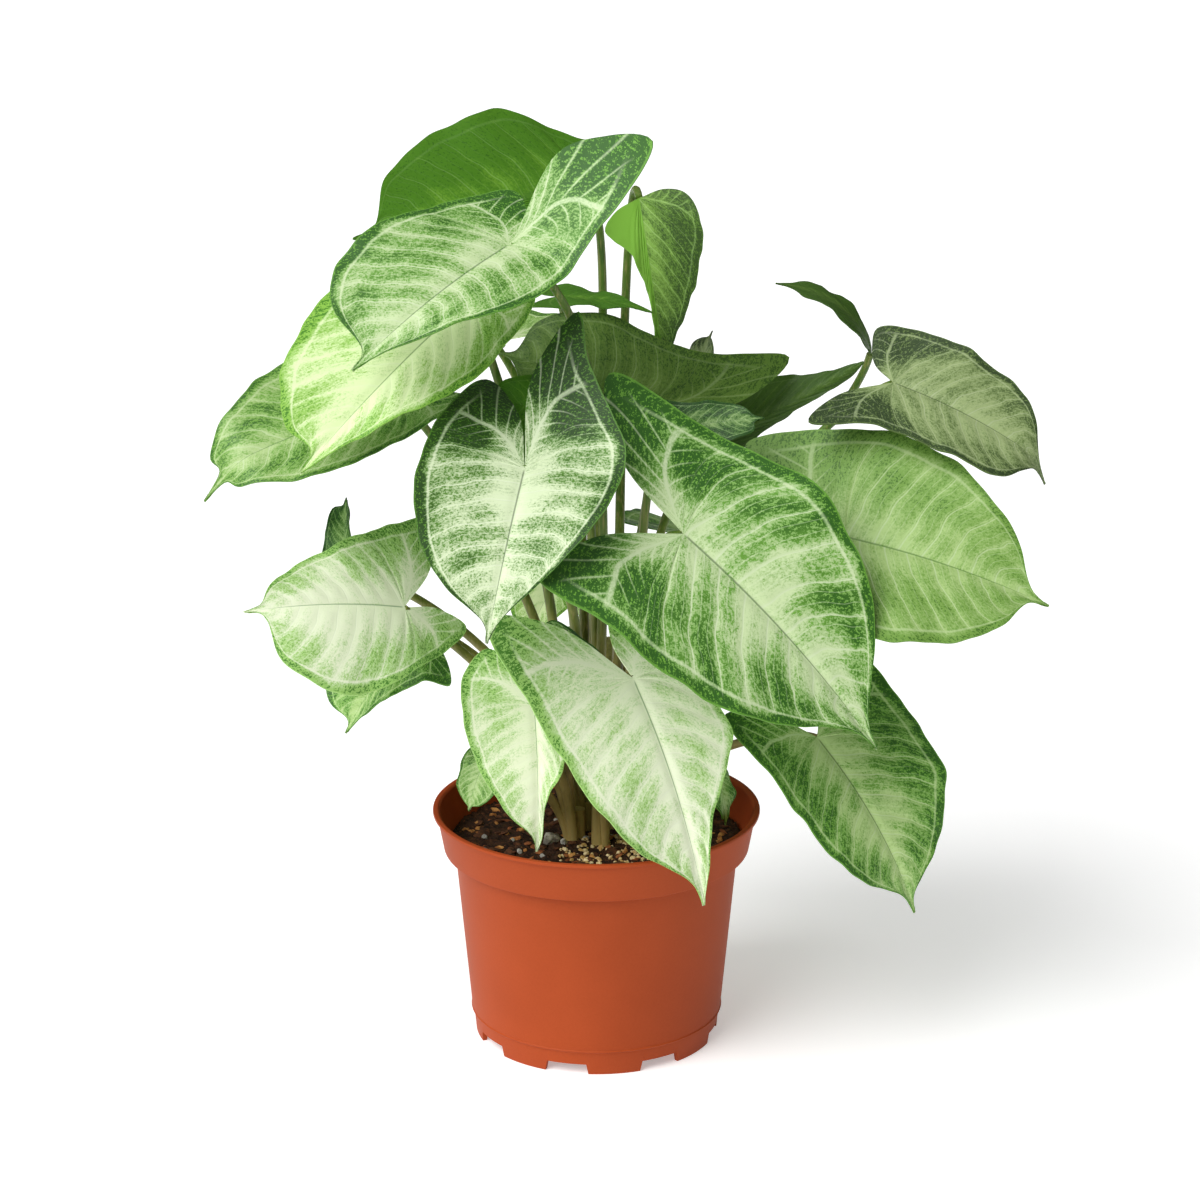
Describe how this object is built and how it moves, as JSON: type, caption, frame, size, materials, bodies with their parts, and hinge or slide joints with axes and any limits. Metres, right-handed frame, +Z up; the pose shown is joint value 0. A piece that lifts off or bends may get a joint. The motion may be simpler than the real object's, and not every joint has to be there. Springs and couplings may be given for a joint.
{
  "type": "potted arrowhead plant",
  "caption": "Arrowhead-leaved foliage plant with pale-veined green blades on long petioles, growing from a round plastic nursery pot of soil.",
  "frame": {"origin": "middle of the pot's foot, on the surface that it stands on", "axes": "+Z up along the pot's axis, -Y towards the pictured side"},
  "size_m": [0.4066, 0.3214, 0.4672],
  "materials": {
    "pot": "satin",
    "soil": "matte",
    "stems": "satin",
    "leaves": "satin"
  },
  "bodies": {
    "root": {"pot": "pot", "soil": "soil", "stem_left": "stems", "stem_front": "stems", "stem_right": "stems", "stem_back_left": "stems", "stem_back_right": "stems", "leaf_top_front": "leaves", "leaf_upper_left": "leaves", "leaf_far_left": "leaves", "leaf_centre": "leaves", "leaf_big_right": "leaves", "leaf_front_low": "leaves", "leaf_front_small": "leaves", "leaf_right": "leaves", "leaf_back_right": "leaves", "leaf_twisted": "leaves", "leaf_dark_under": "leaves", "leaf_behind_centre": "leaves", "leaf_small_dark": "leaves", "leaf_top_back": "leaves", "leaf_top_folded": "leaves", "leaf_thin": "leaves", "leaf_grey_tip": "leaves", "leaf_curled": "leaves", "leaf_left_low": "leaves", "leaf_left_behind": "leaves", "leaf_gap": "leaves", "leaf_low_right": "leaves", "leaf_pot_right": "leaves", "leaf_pot_left": "leaves", "leaf_dark_low": "leaves", "leaf_pale_left": "leaves", "leaf_pale_right": "leaves", "leaf_rear_left": "leaves", "leaf_rear_right": "leaves", "leaf_rear_low": "leaves"}
  },
  "joints": []
}
